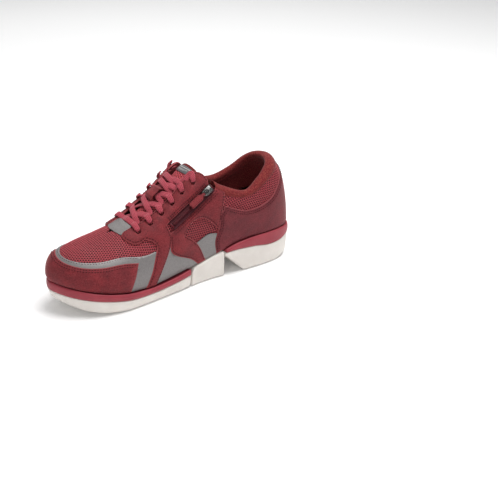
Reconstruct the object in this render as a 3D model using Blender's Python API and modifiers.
"""A right-foot lace-up walking shoe with a side zip, as separate named pieces.

Frame: metres, +X towards the toe, +Y towards the inner (medial) side, +Z up, origin at the
centre of the footprint on the floor. Numbers in the tables below are millimetres.
"""

import math

import bmesh
import bpy
import numpy as np
from mathutils import Matrix, Vector
from mathutils.geometry import delaunay_2d_cdt

MM = 0.001
# The last is drawn from the arch; this puts the footprint's centre on the origin.
CENTRING = Vector((-1.6, 0, 0))

# ---------------------------------------------------------------- the last
# The upper is a surface around the foot. Each station is one rib of it, from the feather
# edge at the sole (foot) up to the top line (top): heel back, inner side, toe, outer side.
# (foot x, y), (top x, y, z), (wall leans out, wall rises), (top leans out, top drops)
INNER_SIDE = [
    ((-129, 16.5), (-112.5, 13.5, 107.5), (0.5, 36), (9, 3)),
    ((-118.5, 27.5), (-104.5, 22.5, 103), (1, 34), (9, 3)),
    ((-98.5, 33.5), (-90, 28, 94), (2, 30), (8, 3)),
    ((-71, 34.5), (-70, 30.5, 85.5), (2, 26), (6.5, 3)),
    ((-44, 34), (-44, 29, 94), (2, 30), (7, 12)),
    ((-14, 35), (-15, 23, 108.5), (3, 38), (9, 14)),
    ((20, 40.5), (20, 20, 87.5), (4, 34), (15, 10)),
    ((52, 45.5), (51, 16.5, 71), (4, 28), (18, 6)),
    ((78, 48.5), (75, 2.5, 65), (3.5, 24), (32, 0)),
    ((99, 46), (91, 2.5, 62), (3, 22), (32, 0)),
    ((115.5, 38.5), (101, 2.8, 60.5), (3, 21), (28, 0)),
    ((127.5, 28), (106, 3, 59.7), (2.5, 20), (24, 0)),
    ((135, 16), (108.5, 3, 59.3), (2, 19), (20, 0)),
]
OUTER_SIDE = [
    ((-129, -18), (-112.5, -14, 107.5), (0.5, 36), (9, 3)),
    ((-118.5, -29.5), (-104.5, -24, 101.5), (1, 34), (9, 3)),
    ((-98.5, -36), (-90, -30.5, 90.5), (2, 30), (8, 3)),
    ((-71, -39), (-70, -33, 83.5), (2, 28), (6.5, 3)),
    ((-43, -42), (-44, -29, 90.5), (2, 30), (7, 12)),
    ((-13, -45.5), (-15, -18, 108.5), (3, 36), (10, 14)),
    ((18, -48.3), (20, -15, 87.5), (4, 32), (16, 10)),
    ((46, -47.5), (51, -11.5, 71), (4, 28), (18, 6)),
    ((72, -42.5), (75, 2.5, 65), (3.5, 24), (30, 0)),
    ((95, -33), (91, 2.5, 62), (3, 22), (28, 0)),
    ((113, -22), (101, 2.8, 60.5), (3, 21), (24, 0)),
    ((126, -12), (106, 3, 59.7), (2.5, 20), (22, 0)),
    ((134.5, -4.5), (108.5, 3, 59.3), (2, 19), (20, 0)),
]
HEEL_BACK = ((-132.8, -0.5), (-116, -0.5, 109), (0, 37), (10, 2))
TOE_TIP = ((138, 6), (109.5, 3, 59.2), (2, 19), (19, 0))
STATIONS = [HEEL_BACK, *INNER_SIDE, TOE_TIP, *reversed(OUTER_SIDE)]
TURN = len(STATIONS)
TOE_U = TURN // 2

# Height of the upper's feather edge, which is the midsole's top edge, along the shoe: (x, z).
FEATHER_HEIGHT = [
    (-140, 33.5), (-115, 36), (-90, 36.5), (-68, 36), (-52, 33.5), (-36, 28.5), (-20, 24.5),
    (0, 21.5), (22, 18.5), (48, 17), (75, 19), (100, 23.5), (120, 28), (140, 33),
]
ARC_SAMPLES = 25


def smooth_through(points, x):
    """A smooth height along x through (x, z) points."""
    px, pz = np.array(points, float).T
    slope = np.gradient(pz, px)
    i = np.clip(np.searchsorted(px, x) - 1, 0, len(px) - 2)
    span = px[i + 1] - px[i]
    f = np.clip((x - px[i]) / span, 0, 1)
    return (
        pz[i] * (1 + 2 * f) * (1 - f) ** 2
        + slope[i] * span * f * (1 - f) ** 2
        + pz[i + 1] * f * f * (3 - 2 * f)
        + slope[i + 1] * span * f * f * (f - 1)
    )


def around(table, u):
    """The closed Catmull-Rom curve through the rows of table, at station number u."""
    table = np.asarray(table, float)
    n = len(table)
    u = np.asarray(u, float)
    i = np.floor(u).astype(int)
    f = (u - i)[:, None]
    a, b, c, d = (table[(i + k) % n] for k in (-1, 0, 1, 2))
    return 0.5 * (
        2 * b + (c - a) * f + (2 * a - 5 * b + 4 * c - d) * f**2 + (3 * b - a - 3 * c + d) * f**3
    )


def rib(u):
    """The four Bezier points of the rib at u, in mm: foot, wall, shoulder, top."""
    foot = around([s[0] for s in STATIONS], u)
    top = around([s[1] for s in STATIONS], u)
    wall = around([s[2] for s in STATIONS], u)
    lean = around([s[3] for s in STATIONS], u)
    foot = np.column_stack([foot, smooth_through(FEATHER_HEIGHT, foot[:, 0])])
    out = foot[:, :2] - top[:, :2]
    out = out / np.linalg.norm(out, axis=1)[:, None]
    out = np.column_stack([out, np.zeros(len(out))])
    up = np.array([0.0, 0.0, 1.0])
    return (
        foot,
        foot + out * wall[:, :1] + up * wall[:, 1:],
        top + out * lean[:, :1] - up * lean[:, 1:],
        top,
        out[:, :2],
    )


def bezier(points, f):
    a, b, c, d = points
    f = f[..., None]
    return a * (1 - f) ** 3 + 3 * b * f * (1 - f) ** 2 + 3 * c * f * f * (1 - f) + d * f**3


def arc_table(u):
    """Ribs at u, sampled: (ribs, share of the rib's length at each sample, length)."""
    ribs = rib(u)
    f = np.linspace(0, 1, ARC_SAMPLES)
    line = bezier([p[:, None, :] for p in ribs[:4]], np.broadcast_to(f, (len(u), ARC_SAMPLES)))
    steps = np.linalg.norm(np.diff(line, axis=1), axis=2)
    share = np.concatenate([np.zeros((len(u), 1)), np.cumsum(steps, axis=1)], axis=1)
    length = share[:, -1]
    return ribs, share / length[:, None], length


def last_point(u, t):
    """The last's surface, in mm: u is the station number and t the share of the rib, 0 at the sole."""
    u, t = np.broadcast_arrays(np.asarray(u, float), np.asarray(t, float))
    ribs, share, _ = arc_table(u.ravel())
    t = t.ravel()
    i = np.clip((share < t[:, None]).sum(axis=1) - 1, 0, ARC_SAMPLES - 2)
    row = np.arange(len(i))
    f = (i + (t - share[row, i]) / (share[row, i + 1] - share[row, i])) / (ARC_SAMPLES - 1)
    return bezier(ribs[:4], f)


def last_normal(u, t):
    """The outward normal of the last's surface."""
    u, t = np.broadcast_arrays(np.asarray(u, float).ravel(), np.asarray(t, float).ravel())
    t = np.clip(t, 0.01, 0.97)
    step = 0.02
    along = last_point(u + step, t) - last_point(u - step, t)
    up = last_point(u, t + 0.01) - last_point(u, t - 0.01)
    n = np.cross(up, along)
    return n / np.linalg.norm(n, axis=1)[:, None]


def flat(u, t):
    """Where a point of the last lies in the flat pattern, in mm."""
    u, t = np.broadcast_arrays(np.asarray(u, float).ravel(), np.asarray(t, float).ravel())
    ribs, _, length = arc_table(u)
    return ribs[3][:, :2] + ribs[4] * ((1 - t) * length)[:, None]


# ---------------------------------------------------------------- layers (offset, thickness)
LINING = (-2.9, 0.8)
STIFFENER = (-1.5, 0.6)
MESH = (-1.1, 0.6)
GREY = (0.3, 0.5)
LEATHER = (1.4, 1.0)
TOP_LEATHER = (2.8, 0.7)

# ---------------------------------------------------------------- the zip's line
ZIP_TOP = np.array([-29.6, 30.1, 97.5])
ZIP_END = np.array([20.7, 35.8, 69.8])
ZIP_FACE = np.array([0.257, 0.763, 0.623])
ZIP_GAP = 4.2


def zip_axes():
    down = (ZIP_END - ZIP_TOP) / np.linalg.norm(ZIP_END - ZIP_TOP)
    face = ZIP_FACE - down * (ZIP_FACE @ down)
    face = face / np.linalg.norm(face)
    return down, face, np.cross(down, face)


def zip_place(along, across, height):
    """A point of the zip: mm down from its top, mm towards the eyestay, mm out of the chain."""
    down, face, side = zip_axes()
    return ZIP_TOP + down * along + side * across + face * height


def beside_zip(alongs, across):
    """Where the last's surface lies at these distances along the zip and beside it: (u, t)."""
    down, _, side = zip_axes()
    found = []
    u, t = 6.3, 0.75
    for along in alongs:
        goal = np.array([along, across])
        for _ in range(12):
            here, by_u, by_t = last_point([u, u + 0.01, u], [t, t, t + 0.01]) - ZIP_TOP
            place = np.array([here @ down, here @ side])
            slope = np.array([
                [(by_u - here) @ down, (by_t - here) @ down],
                [(by_u - here) @ side, (by_t - here) @ side]]) / 0.01
            step = np.linalg.solve(slope, goal - place)
            u, t = u + float(np.clip(step[0], -0.3, 0.3)), t + float(np.clip(step[1], -0.1, 0.1))
        found.append((u, t))
    return found


# ---------------------------------------------------------------- pattern pieces
# Key points of the edges in (station, share of the rib). The outer side mirrors the inner as
# 28 - station. Each list is one smooth edge; outlines are joined at corners from such edges.
CAP_HEIGHTS = [0.38, 0.365, 0.375, 0.42, 0.49, 0.56, 0.585, 0.54, 0.45, 0.395, 0.375]
CAP_EDGE = [(8.4, 0.39), *zip(range(9, 20), CAP_HEIGHTS), (19.6, 0.39)]
TRIM_WIDTH = 0.09
TRIM_LAP = 0.09
STROKE_FRONT = [(8.9, 0), (8.5, 0.29)]
STROKE_BACK = [(8.1, 0), (7.9, 0.19), (7.6, 0.46), (7.7, 0.49)]
STAY_THROAT = [(5.6, 0.985), (6.2, 0.985), (6.7, 0.985), (7.2, 0.985), (7.7, 0.985), (8.1, 0.985)]
STAY_NOSE = [(8.1, 0.985), (8.45, 0.91), (8.6, 0.81), (8.5, 0.71), (8.3, 0.67), (8.1, 0.68),
             (7.9, 0.71)]
STAY_LEG_FRONT = [(7.9, 0.71), (7.7, 0.64), (7.6, 0.54), (7.7, 0.45), (7.95, 0.2), (8.2, 0)]
STAY_LEG_BACK = [(7.8, 0), (7.5, 0.22), (7.2, 0.43), (7.1, 0.52), (7.1, 0.62), (7.15, 0.73)]
STAY_ZIP = beside_zip([56, 43, 28, 16, 9, 1], ZIP_GAP + 0.2)
EYELET_ENDS = (8.0, 6.1)
EYELET_INSET = (9.8, 7.2)
EYELET_RADIUS = 3.3
QUARTER_ZIP = beside_zip([61, 50, 40, 28, 16, 8, 0], -ZIP_GAP) + [(5.35, 0.94)]
QUARTER_REAR = [(5.0, 0.94), (5.1, 0.76), (5.25, 0.52), (5.35, 0.35)]
QUARTER_WINDOW = [(5.35, 0.35), (5.75, 0.49), (5.95, 0.53), (6.3, 0.55), (6.65, 0.47)]
QUARTER_SHANK = [(6.65, 0.47), (6.2, 0.25), (5.9, 0)]
QUARTER_FRONT = [(6.2, 0), (6.35, 0.07), (7.15, 0.41), (7.0, 0.52)]
QUARTER_REAR_OUTER = [(5.0, 0.94), (5.1, 0.76), (5.25, 0.52), (5.35, 0.38)]
QUARTER_WINDOW_OUTER = [(5.35, 0.38), (5.75, 0.56), (6.3, 0.65), (6.9, 0.6)]
QUARTER_SHANK_OUTER = [(6.9, 0.6), (6.7, 0.45), (6.2, 0.25), (5.9, 0)]
COUNTER_FRONT = [(5.45, 0), (5.5, 0.2), (5.3, 0.33), (5.15, 0.52)]
COUNTER_TOP = [(5.05, 0.73), (4.7, 0.66), (3.9, 0.585), (3, 0.58), (2.3, 0.67), (1.5, 0.76),
               (0.7, 0.83), (0, 0.86)]
MESH_FLOOR = [(4.98, 0.36), (5.1, 0.05), (5.8, 0.05), (6.4, 0.05), (7.1, 0.05), (7.45, 0.2)]
QUARTER_MESH = [
    (7.43, 0.5), (7.48, 0.66), (7.3, 0.75), (7.0, 0.73), (6.9, 0.64), (6.3, 0.64), (5.85, 0.66),
    (5.45, 0.68), (5.33, 0.655), (5.06, 0.53), *MESH_FLOOR,
]
QUARTER_MESH_OUTER = [
    (7.43, 0.5), (7.5, 0.68), (7.3, 0.78), (6.9, 0.84), (6.4, 0.85), (5.9, 0.88), (5.5, 0.93),
    (5.4, 0.9), (5.36, 0.66), (5.06, 0.53), *MESH_FLOOR,
]
WEDGE = [
    (7.35, 0.49), (7.15, 0.43), (7.05, 0.3), (6.75, 0.27), (6.3, 0.12), (6.1, 0), (7.9, 0),
    (7.6, 0.28),
]
ARCH_PATCH = [(6.3, 0.26), (5.35, 0.29), (5.15, 0.29), (5.2, 0), (6.0, 0)]
THROAT_SIDE = [(7.5, 0.58), (7.85, 0.7), (8.2, 0.73), (8.4, 0.87), (8.45, 1.0)]
BADGE = [(6.5, 0.43), (6.25, 0.53), (6.1, 0.51), (6.4, 0.4)]


def lowered(points, drop):
    return [(u, t - drop) for u, t in points]


def smooth_run(points):
    """A smooth curve through the key points of one edge, as points about CURVE_STEP apart."""
    rows = np.array(points, float)
    chord = np.linalg.norm(np.diff(rows, axis=0) * [15, 75], axis=1)
    slope = np.gradient(rows, np.concatenate([[0], np.cumsum(chord)]), axis=0)
    run = []
    for k, h in enumerate(chord):
        count = max(1, round(h / CURVE_STEP))
        for f in np.arange(count) / count:
            p = (rows[k] * (1 + 2 * f) * (1 - f) ** 2 + slope[k] * h * f * (1 - f) ** 2
                 + rows[k + 1] * f * f * (3 - 2 * f) + slope[k + 1] * h * f * f * (f - 1))
            run.append(tuple(map(float, p)))
    return run + [tuple(map(float, rows[-1]))]


CURVE_STEP = 7.0


def outline(*runs):
    """A closed outline of smooth edges, with a corner where one edge ends and the next begins."""
    points = []
    for run in runs:
        for p in smooth_run(run):
            if not points or math.dist(p, points[-1]) > 1e-3:
                points.append(p)
    return points if math.dist(points[0], points[-1]) > 1e-3 else points[:-1]


def eyelets():
    """Six holes evenly spaced along the throat, a little further from its edge at the toe end."""
    u = np.linspace(*EYELET_ENDS, 80)
    _, _, length = arc_table(u)
    t = 1 - np.linspace(*EYELET_INSET, 80) / length
    way = np.concatenate([[0], np.cumsum(np.linalg.norm(np.diff(last_point(u, t), axis=0), axis=1))])
    return [(float(np.interp(w, way, u)), float(np.interp(w, way, t)))
            for w in np.linspace(0, way[-1], 6)]


EYELETS = eyelets()


def mirrored(points):
    return [(TURN - u, t) for u, t in reversed(points)]


def densified(outline, step):
    """The outline with extra points, so no edge is longer than step mm."""
    points = []
    for (u0, t0), (u1, t1) in zip(outline, outline[1:] + outline[:1]):
        a, b = last_point([u0, u1], [t0, t1])
        across = min(t0, t1) > 0.94 and abs(u1 - u0) > 3
        way = max(np.linalg.norm(b - a), abs(u1 - u0) * 14)
        parts = 1 if across else max(1, math.ceil(way / step))
        points += [(u0 + (u1 - u0) * k / parts, t0 + (t1 - t0) * k / parts) for k in range(parts)]
    return points


def inside(polygon, points):
    """Which of the points lie inside the closed polygon, and how far each is from its edge."""
    a = polygon
    b = np.roll(polygon, -1, axis=0)
    x, y = points[:, None, 0], points[:, None, 1]
    crosses = (a[:, 1] > y) != (b[:, 1] > y)
    rise = np.where(b[:, 1] == a[:, 1], 1e-9, b[:, 1] - a[:, 1])
    hit = crosses & (x < (b[:, 0] - a[:, 0]) * (y - a[:, 1]) / rise + a[:, 0])
    along = b - a
    f = ((points[:, None] - a) * along).sum(2) / np.maximum((along**2).sum(1), 1e-9)
    near = a + np.clip(f, 0, 1)[..., None] * along
    return hit.sum(1) % 2 == 1, np.linalg.norm(points[:, None] - near, axis=2).min(1)


LATTICE_U = 0.5
LATTICE_T = 7
EDGE_STEP = 11.0


def pattern_mesh(outline, holes):
    """Triangulate a pattern piece: its (station, share) points and its faces."""
    rims = [densified(outline, EDGE_STEP)] + holes
    shapes = [flat(*np.array(r).T) for r in rims]
    lo = math.floor(min(u for u, _ in outline)) - 1
    hi = math.ceil(max(u for u, _ in outline)) + 1
    grid = [
        (u, j / LATTICE_T)
        for u in np.arange(lo, hi, LATTICE_U)
        for j in range(1, LATTICE_T + 1)
        if j < LATTICE_T or 8.9 < u < 14.1
    ]
    spots = flat(*np.array(grid).T)
    keep, gap = inside(shapes[0], spots)
    keep &= gap > 3.2
    for shape in shapes[1:]:
        taken, gap = inside(shape, spots)
        keep &= ~taken & (gap > 2.0)
    extra = [g for g, k in zip(grid, keep) if k]
    points = [p for rim in rims for p in rim] + extra
    places = np.concatenate(shapes + [spots[keep]])
    edges, first = [], 0
    for rim in rims:
        n = len(rim)
        edges += [(first + i, first + (i + 1) % n) for i in range(n)]
        first += n
    found = delaunay_2d_cdt([Vector(p) for p in places], edges, [], 0, 1e-6)
    origin = [ids[0] for ids in found[3]]
    faces = [tuple(origin[i] for i in face) for face in found[2]]
    centres = np.array([places[list(face)].mean(0) for face in faces])
    good, _ = inside(shapes[0], centres)
    for shape in shapes[1:]:
        good &= ~inside(shape, centres)[0]
    return points, [f for f, g in zip(faces, good) if g]


def at_offset(points, offset):
    u, t = np.array(points, float).T
    return last_point(u, t) + last_normal(u, t) * offset


def round_hole(u, t, radius, sides=8):
    """A round hole in the pattern: its rim as (station, share) points."""
    along = np.linalg.norm(np.diff(last_point([u - 0.05, u + 0.05], [t, t]), axis=0)) / 0.1
    up = np.linalg.norm(np.diff(last_point([u, u], [t - 0.02, t + 0.02]), axis=0)) / 0.04
    turns = np.arange(sides) * 2 * math.pi / sides
    return [(u + radius * math.cos(a) / along, t + radius * math.sin(a) / up) for a in turns]


# ---------------------------------------------------------------- making objects
def new_object(name, vertices, faces, closed=True):
    """A smooth-shaded mesh object from vertices in mm, joined up and facing outwards."""
    mesh = bpy.data.meshes.new(name)
    places = [(Vector(v) + CENTRING) * MM for v in vertices]
    mesh.from_pydata(places, [], [list(map(int, f)) for f in faces])
    bm = bmesh.new()
    bm.from_mesh(mesh)
    bmesh.ops.remove_doubles(bm, verts=bm.verts, dist=2e-6)
    bmesh.ops.dissolve_degenerate(bm, edges=bm.edges, dist=1e-6)
    if closed:
        bmesh.ops.recalc_face_normals(bm, faces=bm.faces)
    bm.to_mesh(mesh)
    bm.free()
    mesh.shade_smooth()
    mesh.set_sharp_from_angle(angle=math.radians(35))
    obj = bpy.data.objects.new(name, mesh)
    PART.objects.link(obj)
    return obj


def set_origin(obj, place):
    """Move the object's origin to a place in mm, such as a point of its joint's axis."""
    origin = (Vector(place) + CENTRING) * MM
    obj.data.transform(Matrix.Translation(-origin))
    obj.location = origin


def paint(obj, rgb, rough, metal=0.0):
    material = bpy.data.materials.new(obj.name)
    material.use_nodes = True
    shader = material.node_tree.nodes["Principled BSDF"]
    shader.inputs["Base Color"].default_value = (*rgb, 1)
    shader.inputs["Roughness"].default_value = rough
    shader.inputs["Metallic"].default_value = metal
    material.diffuse_color = (*rgb, 1)
    obj.data.materials.append(material)


def shell(name, outline, layer, colour, holes=()):
    """A sheet of the upper: an open surface laid on the last at an offset, made solid outwards."""
    offset, thick = layer
    points, faces = pattern_mesh(outline, list(holes))
    surface = at_offset(points, offset)
    a, b, c = surface[list(faces[0])]
    out = last_normal(*np.array(points, float)[faces[0][0]])[0]
    if np.cross(b - a, c - a) @ out < 0:
        faces = [f[::-1] for f in faces]
    obj = new_object(name, surface, faces, closed=False)
    solidify = obj.modifiers.new("Thickness", "SOLIDIFY")
    solidify.thickness = thick * MM
    solidify.offset = 1.0
    paint(obj, *colour)
    return obj


def loft(name, sections, colour):
    """A solid through like sections (lists of points), closed flat at both ends."""
    n = len(sections[0])
    vertices = [p for s in sections for p in s]
    faces = [tuple(range(n - 1, -1, -1)), tuple((len(sections) - 1) * n + i for i in range(n))]
    for k in range(len(sections) - 1):
        for i in range(n):
            j = (i + 1) % n
            faces.append((k * n + i, k * n + j, k * n + n + j, k * n + n + i))
    obj = new_object(name, vertices, faces)
    paint(obj, *colour)
    return obj


NUBUCK = ((0.27, 0.03, 0.05), 0.75)
NUBUCK_DARK = ((0.2, 0.025, 0.04), 0.8)
MESH_RED = ((0.36, 0.02, 0.05), 0.85)
KNIT = ((0.2, 0.02, 0.025), 0.9)
GREY_TRIM = ((0.32, 0.32, 0.32), 0.5)
BAND = ((0.28, 0.025, 0.045), 0.5)
WHITE = ((0.8, 0.78, 0.74), 0.6)
LACE = ((0.4, 0.05, 0.09), 0.85)
METAL = ((0.12, 0.12, 0.12), 0.35, 1.0)
PALE = ((0.6, 0.58, 0.55), 0.9)

# ---------------------------------------------------------------- the sole
FLARE_TOP = 3.5
FLARE_MIDDLE = 4.5
TOE_FLARE_LOSS = 2.2
BAND_BOTTOM_FORE = [(0, 15), (22, 12.5), (50, 11), (75, 12), (100, 16), (120, 19.5), (140, 23.5)]
BAND_BOTTOM_HEEL = [(-140, 28.5), (-126, 26.5), (-108, 22.5), (-92, 22.5), (-75, 25.5),
                    (-60, 26.7), (-41, 26.2)]
FORE_BOTTOM = [(0, 1.2), (12, 0), (75, 0), (100, 2), (118, 6), (130, 10.5), (140, 14)]
HEEL_BOTTOM = [(-140, 11), (-134, 7.5), (-122, 2.5), (-108, 0), (-66, 0), (-64, 0.9), (-46, 18),
               (-43, 20.3), (-40, 20.6)]
LUG_TOP = [(-42, 27.6), (-36, 28.1), (-20, 24.1), (-6, 21.8), (-1.5, 19.5), (1.5, 14)]
SOLE_GAP = 0.35
FEATHER_GAP = 0.5


def straight_through(points, x):
    px, pz = np.array(points, float).T
    return np.interp(x, px, pz)


def sole_section(u, rows, across):
    """One cut across the sole. rows are (height at x, outward offset) from the top down."""
    inner, outer = rib(np.array([u])), rib(np.array([TURN - u]))
    m, out_m = inner[0][0], inner[4][0]
    w, out_w = outer[0][0], outer[4][0]
    loss_m, loss_w = (TOE_FLARE_LOSS * min(max((p[0] - 110) / 28, 0), 1) for p in (m, w))
    side_m = [np.array([*(m[:2] + out_m * (o - loss_m)), h(m[0])]) for h, o in rows]
    side_w = [np.array([*(w[:2] + out_w * (o - loss_w)), h(w[0])]) for h, o in rows]
    fractions = [k / across for k in range(1, across)]
    top = [side_m[0] + (side_w[0] - side_m[0]) * f for f in fractions]
    low = [side_w[-1] + (side_m[-1] - side_w[-1]) * f for f in fractions]
    return top + side_w + low + side_m[::-1]


def sole_piece(name, stations, rows, colour, across=2):
    return loft(name, [sole_section(u, rows, across) for u in stations], colour)


def feather(x):
    return smooth_through(FEATHER_HEIGHT, x)


def build_sole():
    def fore_band(x):
        return smooth_through(BAND_BOTTOM_FORE, x)

    def heel_band(x):
        return smooth_through(BAND_BOTTOM_HEEL, x)

    def fore_floor(x):
        return straight_through(FORE_BOTTOM, x)

    def heel_floor(x):
        return straight_through(HEEL_BOTTOM, x)

    def lug_top(x):
        return straight_through(LUG_TOP, x)

    fore = [6.5, 6.75, 7, 7.5, 8, 8.5, 9, 9.5, 10, 10.5, 11, 11.5, 12, 12.5, 13, 13.5, 13.97]
    heel = [0.03, 0.35, 0.7, 1, 1.5, 2, 2.5, 3, 3.5, 4, 4.17, 4.27, 4.6, 4.93, 5.03, 5.08]
    lug = [5.13, 5.3, 5.6, 5.9, 6.2, 6.33, 6.44]
    sole_piece(
        "midsole_forefoot", fore,
        [(lambda x: feather(x) - FEATHER_GAP, FLARE_TOP),
         (lambda x: feather(x) * 0.55 + fore_band(x) * 0.45, FLARE_MIDDLE),
         (fore_band, FLARE_MIDDLE - 0.7)], BAND)
    sole_piece(
        "midsole_heel", heel,
        [(lambda x: feather(x) - FEATHER_GAP, FLARE_TOP),
         (lambda x: feather(x) * 0.5 + heel_band(x) * 0.5, FLARE_MIDDLE),
         (heel_band, FLARE_MIDDLE - 0.5)], BAND)
    sole_piece(
        "outsole_forefoot", fore,
        [(lambda x: fore_band(x) - SOLE_GAP, FLARE_MIDDLE - 1.0),
         (lambda x: fore_floor(x) + 3, FLARE_MIDDLE - 2.6),
         (fore_floor, FLARE_MIDDLE - 5.0)], WHITE)
    sole_piece(
        "outsole_midfoot", lug,
        [(lambda x: lug_top(x) - SOLE_GAP, FLARE_TOP - 0.8),
         (lambda x: 2.5, 1.0),
         (lambda x: 0.0, -1.5)], WHITE)
    sole_piece(
        "outsole_heel", heel,
        [(lambda x: heel_band(x) - SOLE_GAP, FLARE_MIDDLE - 0.8),
         (lambda x: min(heel_floor(x) + 3, heel_band(x) - 2), 2.0),
         (heel_floor, -1.5)], WHITE)
    inside_stations = [0.15, 0.6, 1, 2, 3, 4, 4.5, 5, 5.5, 6, 7, 8, 9, 10, 11, 12, 12.7, 13.3, 13.8]
    sole_piece("insole_board", inside_stations,
               [(lambda x: feather(x) + 1.9, -4.2), (lambda x: feather(x) + 0.7, -4.2)], PALE)
    sole_piece("insole", inside_stations,
               [(lambda x: feather(x) + 6.2, -4.7), (lambda x: feather(x) + 2.3, -4.7)], KNIT)


# ---------------------------------------------------------------- the collar
COLLAR_FOAM_OFFSET = (-5.5, 3.5)
COLLAR_WRAP = [
    (0.44, -6.6), (0.7, -7.1), (0.9, -7.1), (0.985, -6.4), (1.02, -3.9), (0.995, -1.5),
    (0.955, -0.2), (0.94, -1.35), (0.965, -2.0), (0.985, -3.9), (0.965, -5.9), (0.9, -6.4),
    (0.7, -6.4), (0.44, -5.9),
]


def beyond(u, t, offset):
    """A point of the last; shares above 1 carry on straight up from the top line."""
    p = last_point([u], [min(t, 1)])[0] + last_normal([u], [min(t, 1)])[0] * offset
    if t > 1:
        ends = last_point([u, u], [0.97, 1])
        p = p + (ends[1] - ends[0]) / 0.03 * (t - 1)
    return p


def build_collar():
    reach = 5.3
    stations = np.linspace(-reach, reach, 29)
    loft("collar_lining", [[beyond(u, t, o) for t, o in COLLAR_WRAP] for u in stations], KNIT)
    edge = [(u, 0.93) for u in np.linspace(-4.95, 4.95, 23)]
    low = [(u, 0.66) for u in np.linspace(4.95, -4.95, 21)]
    shell("collar_foam", edge + low, COLLAR_FOAM_OFFSET, PALE)
    top = [(u, 0.93) for u in np.linspace(-5.3, 5.3, 23)]
    side = [(5.3, 0.68), (5.03, 0.56), *lowered(COUNTER_TOP[1:-1], 0.07)]
    under = side + [(0, 0.78)] + [(-u, t) for u, t in reversed(side)]
    shell("collar_mesh", top + under, MESH, MESH_RED)


# ---------------------------------------------------------------- the upper
def build_upper():
    floor_fore = [(u, 0.03) for u in np.arange(21.4, 6.5, -0.8)]
    side = [(6.6, 0.4), (6.6, 0.7), (7.1, 0.75), (7.6, 0.73), (8.1, 0.73), (8.38, 0.87),
            (8.45, 1.0)]
    shell("lining_forepart", side + mirrored(side) + floor_fore, LINING, PALE)
    top = [(6.45, 0.7), (5.9, 0.78), (5.3, 0.9), (5.12, 0.6), (4.8, 0.42), (3, 0.4), (0, 0.4)]
    top_back = [(-u, t) for u, t in reversed(top[:-1])]
    floor_back = [(u, 0.03) for u in np.linspace(-6.45, 6.45, 17)]
    shell("lining_quarters", top + top_back + floor_back, LINING, PALE)
    cup = [(3.4, 0.09), (3.2, 0.4), (2, 0.46), (0, 0.48), (-2, 0.46), (-3.2, 0.4), (-3.4, 0.09)]
    shell("heel_stiffener", cup, STIFFENER, PALE)
    puff = [(11, 0.04), (11.2, 0.22), (12.5, 0.3), (14, 0.36), (15.5, 0.34), (16.8, 0.22),
            (17, 0.04)]
    shell("toe_puff", puff, STIFFENER, PALE)

    under_trim = [(20.5, 0.38), *lowered(CAP_EDGE[::-1], TRIM_LAP - 0.045), (7.5, 0.38)]
    throat = THROAT_SIDE + mirrored(THROAT_SIDE)
    shell("vamp_mesh", throat + under_trim, MESH, MESH_RED)
    shell("quarter_mesh_inner", QUARTER_MESH, MESH, MESH_RED)
    shell("quarter_mesh_outer", mirrored(QUARTER_MESH_OUTER), MESH, MESH_RED)

    cap_floor = [(u, 0) for u in (19.13, 18, 17, 16, 15, 14, 13, 12, 11, 10, 9, 8.87)]
    shell("toe_cap", outline(CAP_EDGE, cap_floor), LEATHER, NUBUCK)
    trim_top = [(7.7, 0.49), *lowered(CAP_EDGE, -TRIM_WIDTH), (20.3, 0.49)]
    trim_low = lowered(CAP_EDGE[::-1], TRIM_LAP)
    trim = outline(trim_top, mirrored(STROKE_BACK), mirrored(STROKE_FRONT[::-1]), trim_low,
                   STROKE_FRONT[::-1], STROKE_BACK)
    shell("toe_trim", trim, GREY, GREY_TRIM)
    side = [(8.1, 0.985), (8.2, 0.93), (8.6, 0.86), (8.62, 0.93), (8.56, 1.0)]
    tab = side + mirrored(side)
    shell("throat_tab", tab, GREY, GREY_TRIM)

    holes = [round_hole(u, t, EYELET_RADIUS) for u, t in EYELETS]
    eyestay = outline(STAY_THROAT, STAY_NOSE, STAY_LEG_FRONT, STAY_LEG_BACK, STAY_ZIP)
    shell("eyestay_inner", eyestay, LEATHER, NUBUCK, holes)
    outer_holes = [round_hole(TURN - u, t, EYELET_RADIUS) for u, t in EYELETS]
    shell("eyestay_outer", mirrored(eyestay), LEATHER, NUBUCK, outer_holes)
    inner = outline(QUARTER_ZIP, QUARTER_REAR, QUARTER_WINDOW, QUARTER_SHANK, QUARTER_FRONT)
    shell("quarter_inner", inner, LEATHER, NUBUCK)
    under_stay = lowered(STAY_ZIP[:-1], 0.022) + [(5.55, 0.91), (5.4, 0.94)]
    outer = outline(under_stay, QUARTER_REAR_OUTER, QUARTER_WINDOW_OUTER, QUARTER_SHANK_OUTER,
                    QUARTER_FRONT)
    shell("quarter_outer", mirrored(outer), LEATHER, NUBUCK)
    other_top, other_front = ([(-u, t) for u, t in reversed(e)] for e in (COUNTER_TOP, COUNTER_FRONT))
    floor = [(u, 0) for u in np.linspace(-5.45, 5.45, 17)]
    counter = outline(COUNTER_FRONT, COUNTER_TOP, other_top, other_front, floor)
    shell("heel_counter", counter, LEATHER, NUBUCK_DARK)
    stay = [(0.4, 0.5), (0.34, 0.79), (-0.34, 0.79), (-0.4, 0.5), (0, 0.44)]
    shell("heel_backstay", stay, TOP_LEATHER, NUBUCK_DARK)
    shell("wedge_inner", WEDGE, GREY, GREY_TRIM)
    shell("wedge_outer", mirrored(WEDGE), GREY, GREY_TRIM)
    shell("arch_patch_inner", ARCH_PATCH, GREY, GREY_TRIM)
    shell("arch_patch_outer", mirrored(ARCH_PATCH), GREY, GREY_TRIM)
    shell("side_badge", mirrored(BADGE), (0.1, 0.9), WHITE)


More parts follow.
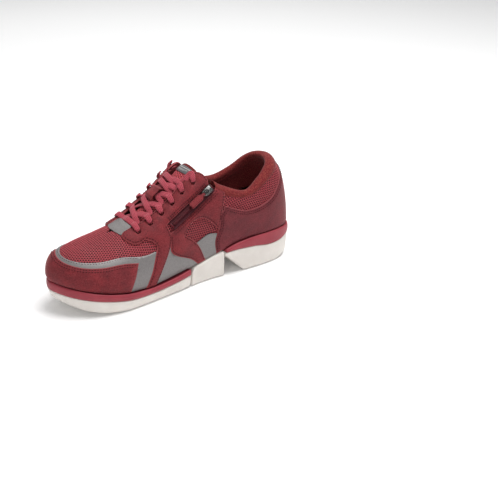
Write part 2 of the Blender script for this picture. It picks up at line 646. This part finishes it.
# ---------------------------------------------------------------- tongue and lace
MIDDLE_Y = 2.5
TONGUE_LINE = [(74, 59.5), (63, 63.5), (51, 69.5), (36, 78.5), (20, 88.8), (6, 98.8),
               (-3, 105.6), (-11, 111.8), (-19, 116.2)]
TONGUE_HALF = 24.0
TONGUE_TOP_HALF = 17.5
TONGUE_DROP = 16.0
TONGUE_THICK = 4.0
ROW_PLACE = [2.15, 3.05, 3.85, 4.6, 5.25, 5.95]
HINGE_PLACE = 6.35
LACE_WIDTH = 6.0
KEEPER_LOOP = [
    (3.7, 0.2), (3.72, 5.2), (3.88, 7.8), (4.46, 7.8), (4.6, 5.4), (4.63, 0.2),
    (4.57, 0.2), (4.54, 4.8), (4.42, 7.0), (3.92, 7.0), (3.79, 4.8), (3.77, 0.2),
]
LACE_THICK = 1.3


def tongue_frame(s):
    """The middle of the tongue's outer face at place s along its line, and its up direction."""
    line = np.array(TONGUE_LINE, float)
    i = int(np.clip(math.floor(s), 0, len(line) - 2))
    f = s - i
    ids = np.clip([i - 1, i, i + 1, i + 2], 0, len(line) - 1)
    a, b, c, d = line[ids]
    p = 0.5 * (2 * b + (c - a) * f + (2 * a - 5 * b + 4 * c - d) * f**2
               + (3 * b - a - 3 * c + d) * f**3)
    q = 0.5 * ((c - a) + 2 * (2 * a - 5 * b + 4 * c - d) * f + 3 * (3 * b - a - 3 * c + d) * f**2)
    q = q / np.linalg.norm(q)
    return np.array([p[0], MIDDLE_Y, p[1]]), np.array([q[1], 0, -q[0]]), q


def tongue_point(s, y, height):
    middle, up, _ = tongue_frame(s)
    slope = 2 * TONGUE_DROP * y / TONGUE_HALF**2
    tilt = np.array([0, slope, 0]) + up
    tilt = tilt / np.linalg.norm(tilt)
    return middle + np.array([0, y, 0]) - up * TONGUE_DROP * (y / TONGUE_HALF) ** 2 + tilt * height


def tongue_section(s, half, low, high, steps=6, sweep=0.0):
    """A cut across the tongue; with sweep its sides lie further up the tongue than its middle."""
    cut = [(s + sweep * (y / half) ** 2, y) for y in np.linspace(-half, half, steps + 1)]
    return [tongue_point(*c, high) for c in cut] + [tongue_point(*c, low) for c in cut[::-1]]


def tongue_hinge():
    """A point of the axis, across the shoe, that the tongue's free end bends about."""
    return tongue_point(HINGE_PLACE, 0, -1.0)


def build_tongue():
    halves = [(0.2, 13), (0.9, 18), (1.5, 21), (2.2, 22), (3.2, 22), (4.2, 22.5), (5.2, 22.5),
              (5.8, 22), (6.3, 20)]
    loft("tongue_lower", [tongue_section(s, h, -TONGUE_THICK, -0.8) for s, h in halves], MESH_RED)
    top = [(6.45, 17.5, 4.6, 0.32), (6.9, 17.8, 5, 0.2), (7.4, 17.5, 5.2, 0.1),
           (7.8, 15.5, 4.6, 0), (8.05, 12, 2.6, 0)]
    flap = loft("tongue_upper",
                [tongue_section(s, h, -k, -0.3, sweep=w) for s, h, k, w in top], MESH_RED)
    set_origin(flap, tongue_hinge())
    label = [(6.75, 14, 0.15), (7.1, 14.5, 0.1), (7.7, 12.5, 0)]
    plate = loft("tongue_label",
                 [tongue_section(s, h, 0.2, 0.8, sweep=w) for s, h, w in label], GREY_TRIM)
    set_origin(plate, tongue_hinge())
    keeper = [[tongue_point(s, y, h) for s, h in KEEPER_LOOP] for y in (-4.6, 0, 4.6)]
    loft("lace_keeper", keeper, NUBUCK)


def eyelet_point(side, row, offset):
    u, t = EYELETS[row]
    return at_offset([(u if side > 0 else TURN - u, t)], offset)[0]


def edge_point(side, row, offset):
    u = EYELETS[row][0]
    return at_offset([(u if side > 0 else TURN - u, 0.985)], offset)[0]


def lace_run(side, row):
    """From under the eyestay at this row, over the tongue, to the far eyelet of the next row."""
    a, b = ROW_PLACE[row], ROW_PLACE[row + 1]
    lift = 1.3 if side > 0 else -0.2
    points = [(edge_point(side, row, -1.7), 5.0, 1.1)]
    half = abs(edge_point(side, row, 0)[1] - MIDDLE_Y)
    for f, h in ((0.16, 2.0), (0.34, 1.8 + lift), (0.5, 2.0 + lift), (0.68, 4.0 + lift), (0.85, 7.6)):
        y = side * (1 - 2 * f) * half
        points.append((tongue_point(a + (b - a) * f, y, h), LACE_WIDTH, LACE_THICK))
    points.append((edge_point(-side, row + 1, 5.1), LACE_WIDTH, LACE_THICK))
    points.append((eyelet_point(-side, row + 1, 5.2), 4.2, LACE_THICK))
    return points


def lace_bar():
    """The front run, straight across from the outer to the inner first eyelet."""
    points = [(eyelet_point(-1, 0, 4.8), 4.2, LACE_THICK), (edge_point(-1, 0, 4.8), 6.0, LACE_THICK)]
    half = abs(edge_point(1, 0, 0)[1] - MIDDLE_Y) * 0.55
    for y in (-half, 0, half):
        points.append((tongue_point(ROW_PLACE[0] - 0.05, y, 3.6), LACE_WIDTH, LACE_THICK))
    points.append((edge_point(1, 0, 4.8), LACE_WIDTH, LACE_THICK))
    points.append((eyelet_point(1, 0, 4.8), 4.2, LACE_THICK))
    return points


def lace_string(side):
    """One half of the lace from its first eyelet upwards, crossing sides at every row."""
    points = []
    for row in range(6):
        points.append((eyelet_point(side, row, 2.5), 2.0, 1.6))
        points.append((eyelet_point(side, row, 0.0), 2.2, 1.5))
        if row < 5:
            points += lace_run(side, row)
            side = -side
        else:
            points.append((edge_point(side, row, -2.6), 5.0, 1.1))
    return points


def ribbon(name, points, colour, parts=2):
    """A flat band through (place, width, thickness) points, its width kept along the shoe."""
    places = np.array([p for p, _, _ in points])
    sizes = np.array([(w, t) for _, w, t in points])
    before = np.concatenate([places[:1], places[:-1]])
    after = np.concatenate([places[1:], places[-1:]])
    tangent = (after - before) / np.linalg.norm(after - before, axis=1)[:, None]
    level = np.stack([-tangent[:, 1], tangent[:, 0], np.zeros(len(places))], 1)
    level *= np.sign(level[:, :1]) + (level[:, :1] == 0)
    firm = np.linalg.norm(level, axis=1)[:, None]
    for _ in range(2):
        mixed = level.copy()
        mixed[1:-1] += 0.5 * (level[:-2] + level[2:])
        level = np.where(firm > 0.75, level, mixed)
    sections = []
    for k in range(len(places) - 1):
        ids = np.clip([k - 1, k, k + 1, k + 2], 0, len(places) - 1)
        for f in np.arange(parts) / parts:
            weights = 0.5 * np.array([
                -f + 2 * f**2 - f**3, 2 - 5 * f**2 + 3 * f**3, f + 4 * f**2 - 3 * f**3, f**3 - f**2])
            slopes = 0.5 * np.array([
                -1 + 4 * f - 3 * f**2, -10 * f + 9 * f**2, 1 + 8 * f - 9 * f**2, 3 * f**2 - 2 * f])
            wide, thick = sizes[k] * (1 - f) + sizes[k + 1] * f
            sections.append(band_section(
                weights @ places[ids], slopes @ places[ids],
                level[k] * (1 - f) + level[k + 1] * f, wide, thick))
    sections.append(band_section(places[-1], tangent[-1], level[-1], *sizes[-1]))
    return loft(name, sections, colour)


def band_section(place, tangent, level, wide, thick):
    tangent = tangent / np.linalg.norm(tangent)
    side = level - tangent * (level @ tangent)
    side = side / np.linalg.norm(side)
    up = np.cross(side, tangent)
    half, deep = wide / 2, thick / 2
    corners = [(-half, -deep), (half, -deep), (half, deep), (-half, deep)]
    return [place + side * x + up * y for x, y in corners]


def build_lace():
    upper = lace_string(1)
    lower = lace_string(-1)
    ribbon("lace", upper[::-1] + lace_bar()[::-1] + lower, LACE)


# ---------------------------------------------------------------- the zip
CHAIN_WIDTH = 4.0
CHAIN_HEIGHT = 1.5
SLIDER_LENGTH = 9.0
SLIDER_HALF = 3.3
SLIDER_START = 6.0
LINK_START = 6.0
LINK_END = 13.0
LINK_HALF = 2.3
LINK_HEIGHT = 4.3
TAB_END = 31.0
TAB_HALF = 3.3


def zip_box(name, along, across, height, colour):
    bm = bmesh.new()
    bmesh.ops.create_cube(bm, size=1)
    ranges = (along, across, height)
    vertices = [zip_place(*(r[0] if c < 0 else r[1] for r, c in zip(ranges, v.co)))
                for v in bm.verts]
    bm.verts.index_update()
    faces = [[v.index for v in f.verts] for f in bm.faces]
    bm.free()
    obj = new_object(name, vertices, faces)
    paint(obj, *colour)
    return obj


def zip_profile(name, profile, across, colour):
    """A part cut from a plate across the zip: profile is (along, height), across its thickness."""
    return loft(name, [[zip_place(a, c, h) for a, h in profile] for c in across], colour)


def build_zip():
    length = float(np.linalg.norm(ZIP_END - ZIP_TOP))
    teeth = []
    pitch = 2.0
    count = int((length - 3) / pitch)
    for k in range(count):
        start = 1.5 + k * pitch
        teeth += [(start, CHAIN_HEIGHT), (start + pitch * 0.55, CHAIN_HEIGHT),
                  (start + pitch * 0.6, CHAIN_HEIGHT - 0.5), (start + pitch * 0.98, CHAIN_HEIGHT - 0.5)]
    profile = [(1.5, 0)] + teeth + [(1.5 + count * pitch - 0.04, 0)]
    loft("zip_chain", [[zip_place(a, c, h) for a, h in profile]
                       for c in (-CHAIN_WIDTH / 2, CHAIN_WIDTH / 2)], METAL)
    zip_box("zip_tape_front", (0, length), (0.15, 5.2), (-1.0, -0.4), NUBUCK_DARK)
    zip_box("zip_tape_rear", (0, length), (-4.6, -0.15), (-1.0, -0.4), NUBUCK_DARK)
    zip_box("zip_top_stop", (-0.6, 1.0), (-2.4, 2.4), (-0.1, 1.6), METAL)
    zip_box("zip_bottom_stop", (length - 1.2, length + 0.6), (-2.6, 2.6), (-0.1, 1.6), METAL)
    start, end = SLIDER_START - SLIDER_LENGTH / 2, SLIDER_START + SLIDER_LENGTH / 2
    half = SLIDER_HALF
    arch = [(half, 0.2), (half, 3.0), (0.9, 3.4), (-0.9, 3.4), (-half, 3.0), (-half, 0.2),
            (-2.5, 0.2), (-2.5, 2.1), (2.5, 2.1), (2.5, 0.2)]
    body = loft("zip_slider", [[zip_place(a, c, h) for c, h in arch] for a in (start, end)], METAL)
    bail = [(start + 1.2, 3.0), (start + 1.2, 5.9), (end - 1.2, 5.9), (end - 1.2, 3.0),
            (end - 2.1, 3.0), (end - 2.1, 5.1), (start + 2.1, 5.1), (start + 2.1, 3.0)]
    join(body, zip_profile("zip_bail", bail, (-0.6, 0.6), METAL))
    set_origin(body, zip_place(SLIDER_START, 0, 0))


def build_pull():
    """The wire link through the slider's bail, and the leather tab that hangs from it."""
    frame = [(LINK_START, LINK_HALF), (LINK_END, LINK_HALF), (LINK_END, -LINK_HALF),
             (LINK_START, -LINK_HALF)]
    wire = 0.45
    outer = [(a + (wire if a > LINK_START + 1 else -wire), c * (1 + wire / LINK_HALF))
             for a, c in frame]
    inner = [(a - (wire if a > LINK_START + 1 else -wire), c * (1 - wire / LINK_HALF))
             for a, c in frame]
    rings = [[zip_place(a, c, LINK_HEIGHT + h) for a, c in ring]
             for ring, h in ((outer, -wire), (outer, wire), (inner, wire), (inner, -wire))]
    vertices = [p for ring in rings for p in ring]
    faces = [(r * 4 + i, r * 4 + (i + 1) % 4, (r + 1) % 4 * 4 + (i + 1) % 4, (r + 1) % 4 * 4 + i)
             for r in range(4) for i in range(4)]
    link = new_object("zip_link", vertices, faces)
    paint(link, *METAL)
    set_origin(link, zip_place(LINK_START, 0, LINK_HEIGHT))
    # The leather narrows to a neck that is folded round the link's far bar.
    a, level = LINK_END, LINK_HEIGHT
    strip = [(a + 1.6, level - 1.1), (TAB_END, level - 1.0), (TAB_END, level + 0.6),
             (a + 1.6, level + 1.1)]
    tab = zip_profile("zip_tab", strip, (-TAB_HALF, TAB_HALF), NUBUCK)
    neck = (a - 1.9, a + 2.5), (-1.5, 1.5), (level - 1.3, level + 1.3)
    join(tab, zip_box("zip_tab_neck", *neck, NUBUCK))
    eye = (a - 0.9, a + 0.9), (-5, 5), (level - 0.75, level + 0.75)
    join(tab, zip_box("zip_tab_eye", *eye, NUBUCK), "DIFFERENCE")
    set_origin(tab, zip_place(LINK_END, 0, LINK_HEIGHT))


def join(target, tool, operation="UNION"):
    """Unite tool into target, or cut it away, and keep it as a helper."""
    cut = target.modifiers.new(operation.title(), "BOOLEAN")
    cut.operation = operation
    cut.solver = "EXACT"
    cut.object = tool
    PART.objects.unlink(tool)
    CUTTERS.objects.link(tool)
    tool.hide_render = True
    tool.display_type = "WIRE"


PART = bpy.data.collections.new("walking_shoe")
CUTTERS = bpy.data.collections.new("cutters")


def main():
    for obj in list(bpy.data.objects):
        bpy.data.objects.remove(obj, do_unlink=True)
    for collection in (PART, CUTTERS):
        bpy.context.scene.collection.children.link(collection)
    build_sole()
    build_upper()
    build_collar()
    build_tongue()
    build_lace()
    build_zip()
    build_pull()


main()
